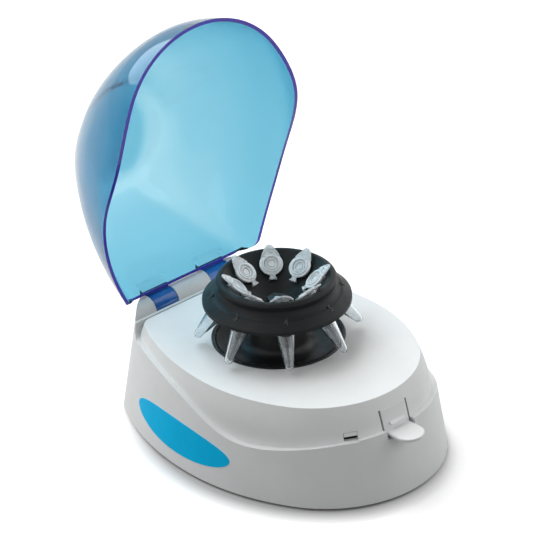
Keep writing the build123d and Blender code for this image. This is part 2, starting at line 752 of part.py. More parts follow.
def make_rotor_nut():
    """Hexagonal nut that holds the rotor on the shaft."""
    nut = Pos(0, 0, DISH_Z) * extrude(RegularPolygon(NUT_R, 6), amount=NUT_HEIGHT)
    return nut - rod(SHAFT_R + SHAFT_FIT, DISH_Z - PASS, DISH_Z + NUT_HEIGHT + PASS)


def make_motor():
    """Motor can with a blind bore for the shaft and a pocket for its upper bearing."""
    can = rod(MOTOR_R, MOTOR_BOTTOM_Z, MOTOR_TOP_Z)
    can = fillet(can.edges().sort_by(Axis.Z)[0], MOTOR_ROUND)
    boss_top = MOTOR_TOP_Z + MOTOR_BOSS_HEIGHT
    motor = can + rod(MOTOR_BOSS_R, MOTOR_TOP_Z, boss_top)
    motor = motor - rod(SHAFT_R + SHAFT_RUNNING, SHAFT_BOTTOM_Z - SEAT_GAP, boss_top + PASS)
    motor = motor - rod(BEARING_R, boss_top - BEARING_HEIGHT, boss_top + PASS)
    for side in (-1, 1):
        hole_z = MOTOR_TOP_Z - MOTOR_SCREW_DEPTH
        motor = motor - rod(SCREW_R + SCREW_GAP, hole_z, MOTOR_TOP_Z + PASS, side * MOTOR_SCREW_X)
    return motor


def make_bearing():
    """Plain bearing of the shaft in the motor's boss."""
    boss_top = MOTOR_TOP_Z + MOTOR_BOSS_HEIGHT
    ring = rod(BEARING_R, boss_top - BEARING_HEIGHT, boss_top)
    return ring - rod(SHAFT_R + SHAFT_RUNNING, MOTOR_TOP_Z, boss_top + PASS)


def grommet_places():
    """The four corners where the motor bracket floats on rubber."""
    return mirrored((GROMMET_X, GROMMET_Y)) + mirrored((GROMMET_X, -GROMMET_Y))


def make_bracket():
    """Steel plate that the motor hangs from."""
    sketch = RectangleRounded(BRACKET_LENGTH, BRACKET_DEPTH, BRACKET_CORNER_R)
    plate = Pos(0, 0, MOTOR_TOP_Z) * extrude(sketch, amount=BRACKET_THICK)
    low, high = MOTOR_TOP_Z - PASS, MOTOR_TOP_Z + BRACKET_THICK + PASS
    plate = plate - rod(MOTOR_BOSS_R + MOTOR_BOSS_GAP, low, high)
    for x, y in grommet_places():
        plate = plate - rod(GROMMET_NECK_R + SCREW_GAP, low, high, x, y)
    for side in (-1, 1):
        plate = plate - rod(SCREW_R + SCREW_GAP, low, high, side * MOTOR_SCREW_X)
    return plate


def make_grommets():
    """Rubber spools between the bracket and the posts of the base."""
    top = MOTOR_TOP_Z + BRACKET_THICK
    profile = turned(
        [
            (SCREW_R + SCREW_GAP, MOTOR_TOP_Z - GROMMET_FLANGE),
            (GROMMET_R, MOTOR_TOP_Z - GROMMET_FLANGE),
            (GROMMET_R, MOTOR_TOP_Z),
            (GROMMET_NECK_R, MOTOR_TOP_Z),
            (GROMMET_NECK_R, top),
            (GROMMET_R, top),
            (GROMMET_R, top + GROMMET_FLANGE),
            (SCREW_R + SCREW_GAP, top + GROMMET_FLANGE),
        ]
    )
    return Compound(children=[Pos(x, y, 0) * profile for x, y in grommet_places()])


def screw(head_z, length, x, y, head_down=False):
    """A pan-head screw whose head rests at a level."""
    if head_down:
        head = rod(SCREW_HEAD_R, head_z - SCREW_HEAD, head_z, x, y)
        shank = rod(SCREW_R, head_z, head_z + length, x, y)
    else:
        head = rod(SCREW_HEAD_R, head_z, head_z + SCREW_HEAD, x, y)
        shank = rod(SCREW_R, head_z - length, head_z, x, y)
    return head + shank


def make_bracket_screws():
    """Screws through the rubber spools into the posts."""
    head_z = MOTOR_TOP_Z + BRACKET_THICK + GROMMET_FLANGE
    length = 2 * GROMMET_FLANGE + BRACKET_THICK + SCREW_GRIP
    return Compound(children=[screw(head_z, length, x, y) for x, y in grommet_places()])


def make_motor_screws():
    """Two screws through the bracket into the motor's face."""
    head_z = MOTOR_TOP_Z + BRACKET_THICK
    length = BRACKET_THICK + MOTOR_SCREW_DEPTH - SEAT_GAP
    return Compound(children=[screw(head_z, length, side * MOTOR_SCREW_X, 0) for side in (-1, 1)])


def board_holes():
    """Where the circuit board is screwed down."""
    front = mirrored((BOARD_HOLE_X, BOARD_Y - BOARD_HOLE_Y))
    return front + mirrored((BOARD_HOLE_X, BOARD_Y + BOARD_HOLE_Y))


def make_base():
    """Base plate with its posts, standoffs and the recesses for feet and screws."""
    plate_top = BASE_Z + PLATE_THICK
    level = blend(CASING_LOW, CASING_HIGH, PLATE_THICK / (SHELL_Z - BASE_Z))
    plate = extrude(Face(outline_wire(inset(level, WALL + PLATE_GAP), BASE_Z)), amount=PLATE_THICK)
    for x, y in grommet_places():
        plate = plate + rod(GROMMET_POST_R, BASE_Z, MOTOR_TOP_Z - GROMMET_FLANGE, x, y)
        low = MOTOR_TOP_Z - GROMMET_FLANGE - SCREW_GRIP - SEAT_GAP
        plate = plate - rod(SCREW_R + SCREW_GAP, low, MOTOR_TOP_Z, x, y)
    for x, y in board_holes():
        plate = plate + rod(STANDOFF_R, BASE_Z, plate_top + STANDOFF_HEIGHT, x, y)
        plate = plate - rod(SCREW_R + SCREW_GAP, plate_top, plate_top + STANDOFF_HEIGHT + PASS, x, y)
    for x, y in feet_places():
        plate = plate - rod(RUBBER_R + SCREW_GAP, 0, BASE_Z + RUBBER_POCKET, x, y)
    for x, y in screw_posts():
        plate = plate - rod(SCREW_HEAD_R + SCREW_GAP, 0, BASE_Z + SCREW_HEAD, x, y)
        plate = plate - rod(SCREW_R + SCREW_GAP, 0, plate_top + PASS, x, y)
    return plate


def feet_places():
    """The four corners of the base that stand on the bench."""
    return mirrored((FEET_X, -FEET_Y)) + mirrored((FEET_X, FEET_Y))


def make_feet():
    """Rubber feet seated in the base's recesses."""
    foot = rod(RUBBER_R, 0, RUBBER_HEIGHT)
    foot = chamfer(foot.edges().sort_by(Axis.Z)[0], RUBBER_BEVEL)
    return Compound(children=[Pos(x, y, 0) * foot for x, y in feet_places()])


def make_base_screws():
    """Screws that hold the base to the casing's posts."""
    length = PLATE_THICK - SCREW_HEAD + SCREW_GRIP - SEAT_GAP
    places = screw_posts()
    return Compound(children=[screw(BASE_Z + SCREW_HEAD, length, x, y, True) for x, y in places])


def make_board():
    """Bare circuit board on its standoffs."""
    low = BASE_Z + PLATE_THICK + STANDOFF_HEIGHT
    half = BOARD_LENGTH / 2
    depth = (BOARD_Y - BOARD_DEPTH / 2, BOARD_Y + BOARD_DEPTH / 2)
    board = block((-half, half), depth, (low, low + BOARD_THICK))
    for x, y in board_holes():
        board = board - rod(SCREW_R + SCREW_GAP, low - PASS, low + BOARD_THICK + PASS, x, y)
    return board


def make_board_screws():
    """Screws of the circuit board."""
    length = BOARD_THICK + STANDOFF_HEIGHT - SEAT_GAP
    return Compound(children=[screw(board_top(), length, x, y) for x, y in board_holes()])


def board_top():
    """Level of the circuit board's upper face."""
    return BASE_Z + PLATE_THICK + STANDOFF_HEIGHT + BOARD_THICK


def make_terminal_block():
    """Terminal block on the circuit board, with its wire entries."""
    length, depth, height = BLOCK_SIZE
    low = board_top()
    x_range = (BLOCK_X - length / 2, BLOCK_X + length / 2)
    body = block(x_range, (BOARD_Y - depth / 2, BOARD_Y + depth / 2), (low, low + height))
    for step in (-1, 0, 1):
        x = BLOCK_X + step * length / 3
        body = body - rod(WIRE_HOLE_R, low + height - WIRE_HOLE_DEPTH, low + height + PASS, x, BOARD_Y)
    return body


def make_capacitor():
    """Round capacitor on the circuit board."""
    low = board_top()
    can = rod(CAPACITOR_R, low, low + CAPACITOR_HEIGHT, CAPACITOR_X, BOARD_Y)
    return fillet(can.edges().sort_by(Axis.Z)[-1], CAPACITOR_ROUND)


def make_inlet():
    """Low-voltage socket: a body behind the wall, a round nose and a centre contact."""
    length, height, depth = INLET_BODY
    body_end = REAR_Y - WALL - SEAT_GAP
    x_range = (INLET_X - length / 2, INLET_X + length / 2)
    body = block(x_range, (body_end - depth, body_end), (REAR_Z - height / 2, REAR_Z + height / 2))
    nose_end = REAR_Y + NUT_RING_THICK
    inlet = body + rod_y(INLET_R, body_end - PASS, nose_end, INLET_X, REAR_Z)
    inlet = inlet - rod_y(SOCKET_R, nose_end - SOCKET_DEPTH, nose_end + PASS, INLET_X, REAR_Z)
    contact_low = nose_end - SOCKET_DEPTH
    return inlet + rod_y(CONTACT_R, contact_low - PASS, contact_low + CONTACT_LENGTH, INLET_X, REAR_Z)


def make_inlet_nut():
    """Ring nut that holds the socket in the wall."""
    start = REAR_Y + NUT_RING_GAP
    end = start + NUT_RING_THICK
    ring = rod_y(NUT_RING_R, start, end, INLET_X, REAR_Z)
    return ring - rod_y(INLET_R + SCREW_GAP, start - PASS, end + PASS, INLET_X, REAR_Z)


def rocker_pivot_y():
    """Depth of the rocker's pivot, just inside the wall."""
    return REAR_Y - ROCKER_PIVOT_DEPTH


def make_rocker_housing():
    """Snap-in housing of the power rocker, with a flange outside the wall."""
    length, depth, height = ROCKER_BODY
    x_range = (ROCKER_X - length / 2, ROCKER_X + length / 2)
    body = block(x_range, (REAR_Y - depth, REAR_Y + PASS), (REAR_Z - height / 2, REAR_Z + height / 2))
    wide, thick, tall = ROCKER_FLANGE
    flange_x = (ROCKER_X - wide / 2, ROCKER_X + wide / 2)
    flange_y = (REAR_Y + PLATE_GAP, REAR_Y + PLATE_GAP + thick)
    flange = block(flange_x, flange_y, (REAR_Z - tall / 2, REAR_Z + tall / 2))
    flange = fillet(flange.edges().filter_by(Axis.Y), ROCKER_FLANGE_ROUND)
    pocket_half = ROCKER_HALF + SLIDE_GAP
    limits = (ROCKER_X - pocket_half, ROCKER_X + pocket_half)
    pivot = rocker_pivot_y()
    pocket = rod_x(ROCKER_POCKET_R, *limits, pivot, REAR_Z)
    mouth_z = (REAR_Z - ROCKER_POCKET_R, REAR_Z + ROCKER_POCKET_R)
    pocket = pocket + block(limits, (pivot, REAR_Y + REACH / 8), mouth_z)
    hole_half = ROCKER_HALF + TRUNNION_LENGTH + TRUNNION_SPARE
    holes = rod_x(TRUNNION_R + PIN_RUNNING, ROCKER_X - hole_half, ROCKER_X + hole_half, pivot, REAR_Z)
    return body + flange - pocket - holes


def make_rocker():
    """The rocker itself, tilted to off, on two trunnions."""
    profile = across(
        polygon(
            [
                (ROCKER_PROUD, ROCKER_REACH),
                (ROCKER_DIP, 0),
                (ROCKER_PROUD, -ROCKER_REACH),
                (ROCKER_HEEL[0], -ROCKER_HEEL[1]),
                (ROCKER_KEEL, 0),
                ROCKER_HEEL,
            ]
        )
    )
    body = profile & block((-ROCKER_HALF, ROCKER_HALF), (-REACH, REACH), (-REACH, REACH))
    half = ROCKER_HALF + TRUNNION_LENGTH
    body = body + rod_x(TRUNNION_R, -half, half, 0, 0)
    return Pos(ROCKER_X, rocker_pivot_y(), REAR_Z) * Rot(-ROCKER_TILT, 0, 0) * body


def make_label():
    """Thin oval label that follows the left wall, with nothing on it."""
    oval = Plane.YZ * Pos(LABEL_Y, LABEL_Z) * Ellipse(LABEL_HALF_LENGTH, LABEL_HALF_HEIGHT)
    stamp = extrude(oval, amount=-REACH / 2)
    return (casing_solid(-LABEL_THICK) & stamp) - casing_solid(0.0)


def make_shaft():
    """Motor shaft, up through the chamber floor into the rotor."""
    shaft = rod(SHAFT_R, SHAFT_BOTTOM_Z, DISH_Z + NUT_HEIGHT)
    return chamfer(shaft.edges().sort_by(Axis.Z)[-1], SHAFT_BEVEL)


def make_pieces():
    """Every separate piece by name, about the rotor's axis."""
    pieces = {
        "top_casing": make_top_casing(),
        "base_plate": make_base(),
        "rubber_feet": make_feet(),
        "base_screws": make_base_screws(),
        "hinge_pins": make_hinge_pins(),
        "lid_dome": make_lid(),
        "latch_tongue": make_latch(),
        "lid_switch": make_switch_housing(),
        "switch_plunger": make_plunger(),
        "rotor_cowl": make_cowl(),
        "shaft_seal": make_shaft_seal(),
        "motor": make_motor(),
        "motor_bearing": make_bearing(),
        "motor_bracket": make_bracket(),
        "motor_screws": make_motor_screws(),
        "damper_grommets": make_grommets(),
        "bracket_screws": make_bracket_screws(),
        "motor_shaft": make_shaft(),
        "rotor": make_rotor(),
        "rotor_nut": make_rotor_nut(),
        "circuit_board": make_board(),
        "board_screws": make_board_screws(),
        "terminal_block": make_terminal_block(),
        "capacitor": make_capacitor(),
        "power_inlet": make_inlet(),
        "inlet_nut": make_inlet_nut(),
        "rocker_housing": make_rocker_housing(),
        "power_rocker": make_rocker(),
        "side_label": make_label(),
    }
    tube = make_tube()
    for index in range(TUBE_COUNT):
        pieces[f"tube_{index + 1}"] = tube_place(index) * tube
    return pieces


def centre_shift(pieces):
    """The move that brings the middle of the whole object over the origin."""
    boxes = [piece.bounding_box() for piece in pieces.values()]
    low = min(box.min.Y for box in boxes)
    high = max(box.max.Y for box in boxes)
    return -(low + high) / 2


def main():
    os.makedirs("parts", exist_ok=True)
    pieces = make_pieces()
    shift = centre_shift(pieces)
    print(f"rotor axis at y {shift:.4f}")
    for name, piece in pieces.items():
        export_step(Pos(0, shift, 0) * piece, f"parts/{name}.step")


main()
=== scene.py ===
# Looks of a bench mini centrifuge with its lid open. Metres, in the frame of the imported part.

from math import cos, pi, radians, sin, tan

import bmesh
import bpy
from mathutils import Matrix, Vector
from mathutils.bvhtree import BVHTree


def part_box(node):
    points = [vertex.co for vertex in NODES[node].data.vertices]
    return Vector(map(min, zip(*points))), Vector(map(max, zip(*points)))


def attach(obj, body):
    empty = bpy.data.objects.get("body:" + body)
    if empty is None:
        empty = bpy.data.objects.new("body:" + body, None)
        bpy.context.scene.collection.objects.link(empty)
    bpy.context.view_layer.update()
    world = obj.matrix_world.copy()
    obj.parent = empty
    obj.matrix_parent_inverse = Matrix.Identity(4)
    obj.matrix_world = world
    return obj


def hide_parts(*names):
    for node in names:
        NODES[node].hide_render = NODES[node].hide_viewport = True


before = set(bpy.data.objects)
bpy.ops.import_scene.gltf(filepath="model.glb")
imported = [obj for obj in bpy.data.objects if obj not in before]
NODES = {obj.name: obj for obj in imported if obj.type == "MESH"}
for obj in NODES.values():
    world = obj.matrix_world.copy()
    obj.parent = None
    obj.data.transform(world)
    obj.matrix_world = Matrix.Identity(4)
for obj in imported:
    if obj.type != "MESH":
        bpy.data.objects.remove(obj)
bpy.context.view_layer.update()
MM = 0.001

# Rotor axis in the part's frame
AXIS_Y = (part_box("rotor_nut")[0].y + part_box("rotor_nut")[1].y) / 2

# Camera: the photograph's viewing angle, found from the outlines of casing, deck and lid
IMAGE_SIZE = 533.0
FOCAL_PIXELS = 3791.94
CAMERA_AZIMUTH = radians(-41.34)
CAMERA_ELEVATION = radians(29.96)
CAMERA_ROLL = radians(-2.30)
CAMERA_DISTANCE = 2.2
CAMERA_REACH = 20.0
CAMERA_TARGET = Vector((0, AXIS_Y, 60 * MM))
TARGET_PIXEL = (278.52, 333.42)
SENSOR = 36.0


def camera_axes():
    """Right, up and backward axes of the photograph's camera."""
    azimuth, elevation, roll = CAMERA_AZIMUTH, CAMERA_ELEVATION, CAMERA_ROLL
    back = Vector((sin(azimuth) * cos(elevation), -cos(azimuth) * cos(elevation), sin(elevation)))
    level = Vector((cos(azimuth), sin(azimuth), 0))
    upright = back.cross(level)
    right = level * cos(roll) + upright * sin(roll)
    up = upright * cos(roll) - level * sin(roll)
    return right, up, back


def make_camera():
    """A camera that looks at the middle of the photograph's frame."""
    right, up, back = camera_axes()
    across = (IMAGE_SIZE / 2 - TARGET_PIXEL[0]) / FOCAL_PIXELS
    down = (IMAGE_SIZE / 2 - TARGET_PIXEL[1]) / FOCAL_PIXELS
    new_back = (back - right * across + up * down).normalized()
    new_right = (right - new_back * right.dot(new_back)).normalized()
    new_up = new_back.cross(new_right)
    turn = Matrix((new_right, new_up, new_back)).transposed().to_4x4()
    data = bpy.data.cameras.new("photo_camera")
    data.sensor_width = SENSOR
    data.lens = SENSOR * FOCAL_PIXELS / IMAGE_SIZE
    data.clip_end = CAMERA_REACH
    camera = bpy.data.objects.new("photo_camera", data)
    camera.matrix_world = Matrix.Translation(CAMERA_TARGET + back * CAMERA_DISTANCE) @ turn
    bpy.context.scene.collection.objects.link(camera)
    bpy.context.scene.camera = camera


make_camera()


# Materials

WHITE = (1, 1, 1, 1)


def linear(red, green, blue):
    """Linear colour of a display colour given from 0 to 255."""
    channels = [((value / 255 + 0.055) / 1.055) ** 2.4 for value in (red, green, blue)]
    return (*channels, 1.0)


def calculate(tree, operation, first, second):
    """Result of a sum on two values, each a node's output or a plain number."""
    node = tree.nodes.new("ShaderNodeMath")
    node.operation = operation
    for socket, value in zip(node.inputs, (first, second)):
        if isinstance(value, float):
            socket.default_value = value
        else:
            tree.links.new(value, socket)
    return node.outputs[0]


def in_view(tree, path):
    """One for rays from the camera, from a mirroring or through a clear surface, else zero."""
    camera, glossy = path.outputs["Is Camera Ray"], path.outputs["Is Glossy Ray"]
    either = calculate(tree, "MAXIMUM", camera, glossy)
    return calculate(tree, "MAXIMUM", either, path.outputs["Is Transmission Ray"])


class Maker:
    """Builds a node material a line at a time."""

    def __init__(self, name):
        self.material = bpy.data.materials.new(name)
        self.material.use_nodes = True
        self.tree = self.material.node_tree
        self.nodes = self.tree.nodes
        self.shader = self.nodes["Principled BSDF"]
        self.output = self.nodes["Material Output"]
        self.coords = self.nodes.new("ShaderNodeTexCoord")

    def link(self, start, end):
        self.tree.links.new(start, end)

    def set(self, **values):
        for name, value in values.items():
            self.shader.inputs[name.replace("_", " ")].default_value = value

    def times(self, first, second):
        return calculate(self.tree, "MULTIPLY", first, second)

    def plus(self, first, second):
        return calculate(self.tree, "ADD", first, second)

    def noise(self, size, detail, rough=0.5, stretch=None):
        """Noise whose features are about the given size in metres."""
        node = self.nodes.new("ShaderNodeTexNoise")
        node.inputs["Scale"].default_value = 1 / size
        node.inputs["Detail"].default_value = detail
        node.inputs["Roughness"].default_value = rough
        source = self.coords.outputs["Object"]
        if stretch:
            mapping = self.nodes.new("ShaderNodeMapping")
            mapping.inputs["Scale"].default_value = stretch
            self.link(source, mapping.inputs["Vector"])
            source = mapping.outputs["Vector"]
        self.link(source, node.inputs["Vector"])
        return node.outputs["Fac"]

    def ramp(self, source, low, high, start=0.35, end=0.65):
        """A value that runs from low to high while its source runs from start to end."""
        node = self.nodes.new("ShaderNodeMapRange")
        self.link(source, node.inputs["Value"])
        node.inputs["From Min"].default_value = start
        node.inputs["From Max"].default_value = end
        node.inputs["To Min"].default_value = low
        node.inputs["To Max"].default_value = high
        return node.outputs["Result"]

    def mix(self, fac, first, second):
        """A colour between two, chosen by a value."""
        node = self.nodes.new("ShaderNodeMix")
        node.data_type = "RGBA"
        self.link(fac, node.inputs["Factor"])
        for socket, value in ((node.inputs[6], first), (node.inputs[7], second)):
            if isinstance(value, tuple):
                socket.default_value = value
            else:
                self.link(value, socket)
        return node.outputs[2]

    def bump(self, height, depth):
        """A relief of the given depth in metres."""
        node = self.nodes.new("ShaderNodeBump")
        node.inputs["Distance"].default_value = depth
        node.inputs["Strength"].default_value = 1.0
        self.link(height, node.inputs["Height"])
        self.link(node.outputs["Normal"], self.shader.inputs["Normal"])

    def colour(self, source):
        self.link(source, self.shader.inputs["Base Color"])

    def rough(self, size, detail, low, high):
        """Roughness that wanders between two values over patches of a size."""
        patches = self.ramp(self.noise(size, detail), low, high)
        self.link(patches, self.shader.inputs["Roughness"])


# Moulded plastic: size of its clouds and gloss patches, and the share of clouds in its shade
CLOUD_SIZE = 18 * MM
CLOUD_SHARE = 0.7
GLOSS_SIZE = 6 * MM
PLAIN_SPECULAR = 0.5


def moulded(name, light, dark, rough, grain, depth, specular=PLAIN_SPECULAR):
    """Moulded plastic: cloudy colour, uneven gloss and a fine spark-eroded grain.

    Light and dark are display colours, and the grain's size and depth are in millimetres."""
    maker = Maker(name)
    clouds = maker.times(maker.noise(CLOUD_SIZE, detail=3.0), CLOUD_SHARE)
    speckle = maker.times(maker.noise(grain * MM * 2, detail=4.0), 1 - CLOUD_SHARE)
    shade = maker.ramp(maker.plus(clouds, speckle), 0.0, 1.0)
    maker.colour(maker.mix(shade, linear(*dark), linear(*light)))
    maker.rough(GLOSS_SIZE, detail=3.0, low=rough - 0.05, high=rough + 0.06)
    maker.bump(maker.noise(grain * MM, detail=3.0), depth * MM)
    maker.set(Specular_IOR_Level=specular)
    return maker.material


# Metal: size of its streaks and gloss patches, and the depth of the streaks
STREAK_SIZE = 1.2 * MM
STREAK_DEPTH = 0.01 * MM
METAL_GLOSS_SIZE = 4 * MM


def metal(name, light, dark, rough, stretch=None):
    """Drawn or turned metal: streaks in gloss and colour, given as display colours."""
    maker = Maker(name)
    streaks = maker.noise(STREAK_SIZE, detail=4.0, rough=0.6, stretch=stretch)
    maker.colour(maker.mix(maker.ramp(streaks, 0.0, 1.0), linear(*dark), linear(*light)))
    maker.rough(METAL_GLOSS_SIZE, detail=3.0, low=rough - 0.06, high=rough + 0.08)
    maker.bump(streaks, STREAK_DEPTH)
    maker.set(Metallic=1.0)
    return maker.material


# Tinted plastic of the lid: refraction, and the slow waves in its gloss and its wall
TINTED_INDEX = 1.38
TINTED_GLOSS_SIZE = 25 * MM
WAVE_SIZE = 30 * MM
WAVE_DEPTH = 0.02 * MM


def tinted(name, absorb, density, rough, cast):
    """Clear tinted plastic: colour comes from the depth of the wall that light passes.

    The shadow that it casts is nearly clear, as in the photograph."""
    maker = Maker(name)
    maker.set(Transmission_Weight=1.0, IOR=TINTED_INDEX, Base_Color=WHITE)
    maker.rough(TINTED_GLOSS_SIZE, detail=2.0, low=rough, high=rough + 0.03)
    maker.bump(maker.noise(WAVE_SIZE, detail=1.0), WAVE_DEPTH)
    shadow_ray = maker.nodes.new("ShaderNodeLightPath").outputs["Is Shadow Ray"]
    volume = maker.nodes.new("ShaderNodeVolumeAbsorption")
    volume.inputs["Color"].default_value = absorb
    level = maker.ramp(shadow_ray, density, 0.0, start=0.0, end=1.0)
    maker.link(level, volume.inputs["Density"])
    maker.link(volume.outputs["Volume"], maker.output.inputs["Volume"])
    clear = maker.nodes.new("ShaderNodeBsdfTransparent")
    clear.inputs["Color"].default_value = cast
    both = maker.nodes.new("ShaderNodeMixShader")
    maker.link(shadow_ray, both.inputs[0])
    maker.link(maker.shader.outputs["BSDF"], both.inputs[1])
    maker.link(clear.outputs["BSDF"], both.inputs[2])
    maker.link(both.outputs["Shader"], maker.output.inputs["Surface"])
    return maker.material


# Polypropylene of the tubes: its two shades, and the sizes of its clouds and gloss patches
MILKY = linear(232, 237, 240)
CLEAR = linear(246, 249, 250)
MILK_SIZE = 6 * MM
TUBE_GLOSS_SIZE = 4 * MM


def polypropylene(name, clear, rough, index):
    """Polypropylene of the tubes: clear in the thin walls, milky in the thick caps."""
    maker = Maker(name)
    cloud = maker.noise(MILK_SIZE, detail=2.0)
    maker.colour(maker.mix(maker.ramp(cloud, 0.0, 1.0), MILKY, CLEAR))
    maker.rough(TUBE_GLOSS_SIZE, detail=2.0, low=rough, high=rough + 0.06)
    maker.set(Transmission_Weight=clear, IOR=index)
    return maker.material


# Name, light and dark colour, roughness, the grain's size and depth, and the specular level
# where it differs from that of plain plastic
PLASTICS = {
    "casing": ("casing_plastic", (231, 233, 233), (227, 229, 229), 0.48, 0.45, 0.008),
    "base": ("base_plastic", (168, 168, 168), (158, 158, 158), 0.6, 0.8, 0.02),
    "rubber": ("foot_rubber", (44, 44, 44), (34, 34, 34), 0.8, 0.6, 0.03),
    "black": ("black_plastic", (24, 25, 27), (17, 18, 20), 0.45, 0.4, 0.01, 0.2),
    "rotor": ("rotor_plastic", (30, 33, 34), (23, 26, 27), 0.42, 0.5, 0.01, 0.12),
    # Place numbers: lighter than the rotor, a painted highlight of the light on their relief
    "number": ("number_painted_highlight", (62, 66, 68), (52, 56, 58), 0.42, 0.5, 0.01, 0.2),
    "label": ("label_film", (0, 196, 250), (0, 190, 244), 0.5, 0.5, 0.004, 0.1),
    "board": ("board_varnish", (24, 104, 58), (14, 84, 44), 0.35, 1.2, 0.02),
    "terminal": ("terminal_plastic", (60, 150, 96), (46, 132, 82), 0.5, 0.5, 0.01),
    "lid_edge": ("lid_edge_tint", (66, 62, 204), (84, 48, 184), 0.2, 0.8, 0.004),
    "lid_clip": ("lid_clip_tint", (14, 118, 206), (8, 88, 168), 0.18, 1.5, 0.01),
    # Pale blue of the knuckles' covers: painted light for the lid's backlit plastic
    "lid_painted_backlight": ("lid_back_painted_glow", (160, 222, 243), (146, 212, 238), 0.3, 1.5, 0.01),
}

# Name, light and dark colour, roughness, and how the streaks are drawn out
METALS = {
    "steel": ("plated_steel", (206, 206, 206), (178, 178, 178), 0.3, (1, 1, 6)),
    "brass": ("bearing_brass", (212, 176, 96), (188, 150, 78), 0.35),
    "nut": ("nut_black_anodised", (58, 58, 58), (48, 48, 48), 0.4, (6, 6, 1)),
}

# The lid's tint, how strongly its wall takes up light, and the colour that its shadow keeps
LID_TINT = (0.04, 0.61, 0.76, 1.0)
LID_DENSITY = 800.0
LID_ROUGH = 0.02
LID_CAST = (0.88, 0.90, 0.91, 1)

# Name, clearness, roughness and refraction of each part of a tube
TUBE_PLASTICS = {
    "tube": ("tube_polypropylene", 0.98, 0.03, 1.42),
    "cap": ("cap_polypropylene", 0.15, 0.3, 1.45),
    "tab": ("tab_polypropylene", 0.5, 0.25, 1.40),
}

MATERIALS = {look: moulded(*row) for look, row in PLASTICS.items()}
MATERIALS.update({look: metal(*row) for look, row in METALS.items()})
MATERIALS.update({look: polypropylene(*row) for look, row in TUBE_PLASTICS.items()})
MATERIALS["lid"] = tinted("lid_tint", LID_TINT, LID_DENSITY, LID_ROUGH, LID_CAST)

NODES_OF_LOOK = {
    "casing": ("top_casing", "latch_tongue", "switch_plunger"),
    "base": ("base_plate",),
    "rubber": ("rubber_feet", "damper_grommets", "shaft_seal"),
    "steel": (
        "base_screws", "motor_screws", "bracket_screws", "board_screws",
        "hinge_pins", "motor", "motor_bracket", "motor_shaft",
    ),
    "brass": ("motor_bearing",),
    "nut": ("rotor_nut",),
    "lid": ("lid_dome",),
    "black": (
        "lid_switch", "rotor_cowl", "capacitor", "power_inlet",
        "inlet_nut", "rocker_housing", "power_rocker",
    ),
    "rotor": ("rotor",),
    "board": ("circuit_board",),
    "terminal": ("terminal_block",),
    "label": ("side_label",),
}
LOOKS = {node: look for look, nodes in NODES_OF_LOOK.items() for node in nodes}


def dress():
    """Give every CAD node its material."""
    for name, node in NODES.items():
        look = "tube" if name.startswith("tube_") else LOOKS[name]
        node.data.materials.clear()
        node.data.materials.append(MATERIALS[look])


dress()


# Pieces that stand for CAD nodes or add detail to them

WELD = 0.001 * MM
SHARP_ANGLE = 35.0
LATHE_STEPS = 48


def finish_mesh(name, bm, looks, body):
    """Turn a bmesh into a shaded piece that rides on a body, with one material or more."""
    bmesh.ops.remove_doubles(bm, verts=bm.verts, dist=WELD)
    bmesh.ops.recalc_face_normals(bm, faces=bm.faces)
    mesh = bpy.data.meshes.new(name)
    bm.to_mesh(mesh)
    bm.free()
    for polygon in mesh.polygons:
        polygon.use_smooth = True
    mesh.set_sharp_from_angle(angle=radians(SHARP_ANGLE))
    for look in looks:
        mesh.materials.append(MATERIALS[look])
    piece = bpy.data.objects.new(name, mesh)
    bpy.context.scene.collection.objects.link(piece)
    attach(piece, body)
    return piece


def surface_of(node):
    """The surface of a CAD node, to find places on it with rays."""
    return BVHTree.FromObject(NODES[node], bpy.context.evaluated_depsgraph_get())


def lathe(bm, profile):
    """Turn a (r, z) profile in millimetres about Z."""
    ring = [bm.verts.new((r * MM, 0, z * MM)) for r, z in profile]
    edges = [bm.edges.new((a, b)) for a, b in zip(ring, ring[1:])]
    bmesh.ops.spin(
        bm, geom=ring + edges, angle=2 * pi, steps=LATHE_STEPS, axis=(0, 0, 1), cent=(0, 0, 0)
    )


def arc(centre, radius, start, end, count):
    """Points of an arc in the (r, z) plane, angles in degrees."""
    angles = [radians(start + (end - start) * step / count) for step in range(count + 1)]
    return [(centre[0] + radius * cos(angle), centre[1] + radius * sin(angle)) for angle in angles]


def plate(bm, outline, low, high, bevel):
    """A flat plate with bevelled rims over an outline, in millimetres."""
    middle = Vector((sum(x for x, y in outline), sum(y for x, y in outline))) / len(outline)
    rings = []
    for level, drawn in ((low, bevel), (low + bevel, 0.0), (high - bevel, 0.0), (high, bevel)):
        ring = []
        for x, y in outline:
            point = Vector((x, y))
            inward = (middle - point).normalized() * drawn
            corner = ((point.x + inward.x) * MM, (point.y + inward.y) * MM, level * MM)
            ring.append(bm.verts.new(corner))
        rings.append(ring)
    for first, second in zip(rings, rings[1:]):
        for a, b, c, d in zip(first, first[1:] + first[:1], second[1:] + second[:1], second):
            bm.faces.new((a, b, c, d))
    bm.faces.new(rings[0][::-1])
    bm.faces.new(rings[-1])


# Places of the tubes on the rotor's dish, in millimetres and degrees
TUBE_COUNT = 8
FIRST_TUBE = -124.62
TUBE_TILT = 40.0
PLACE_R = 23.8
DISH_R = 8.0
DISH_Z = 79.0

# Sizes of a tube in millimetres, from its seat on the dish
TUBE_R = 5.4
TUBE_WALL = 1.0
TUBE_STRAIGHT = 17.0
TIP_R = 2.6
TIP_Z = -38.3
TIP_WALL = 0.7 * TUBE_WALL
COLLAR_R = 6.5
COLLAR_Z = 1.6
COLLAR_BASE = 0.01
EASED = 0.2

# Its cap: the middle, the rings round it and the plug below
CAP_R = 6.9
CAP_Z = 3.5
CAP_MIDDLE_Z = 2.6
CAP_GROOVE_Z = 1.9
CAP_RING_Z = 2.9
CAP_MOAT_Z = 2.1
CAP_UNDERSIDE_Z = 1.2
CAP_SEAT_Z = COLLAR_Z + 0.05
PLUG_R = TUBE_R - TUBE_WALL - 0.1
PLUG_END_Z = -1.8

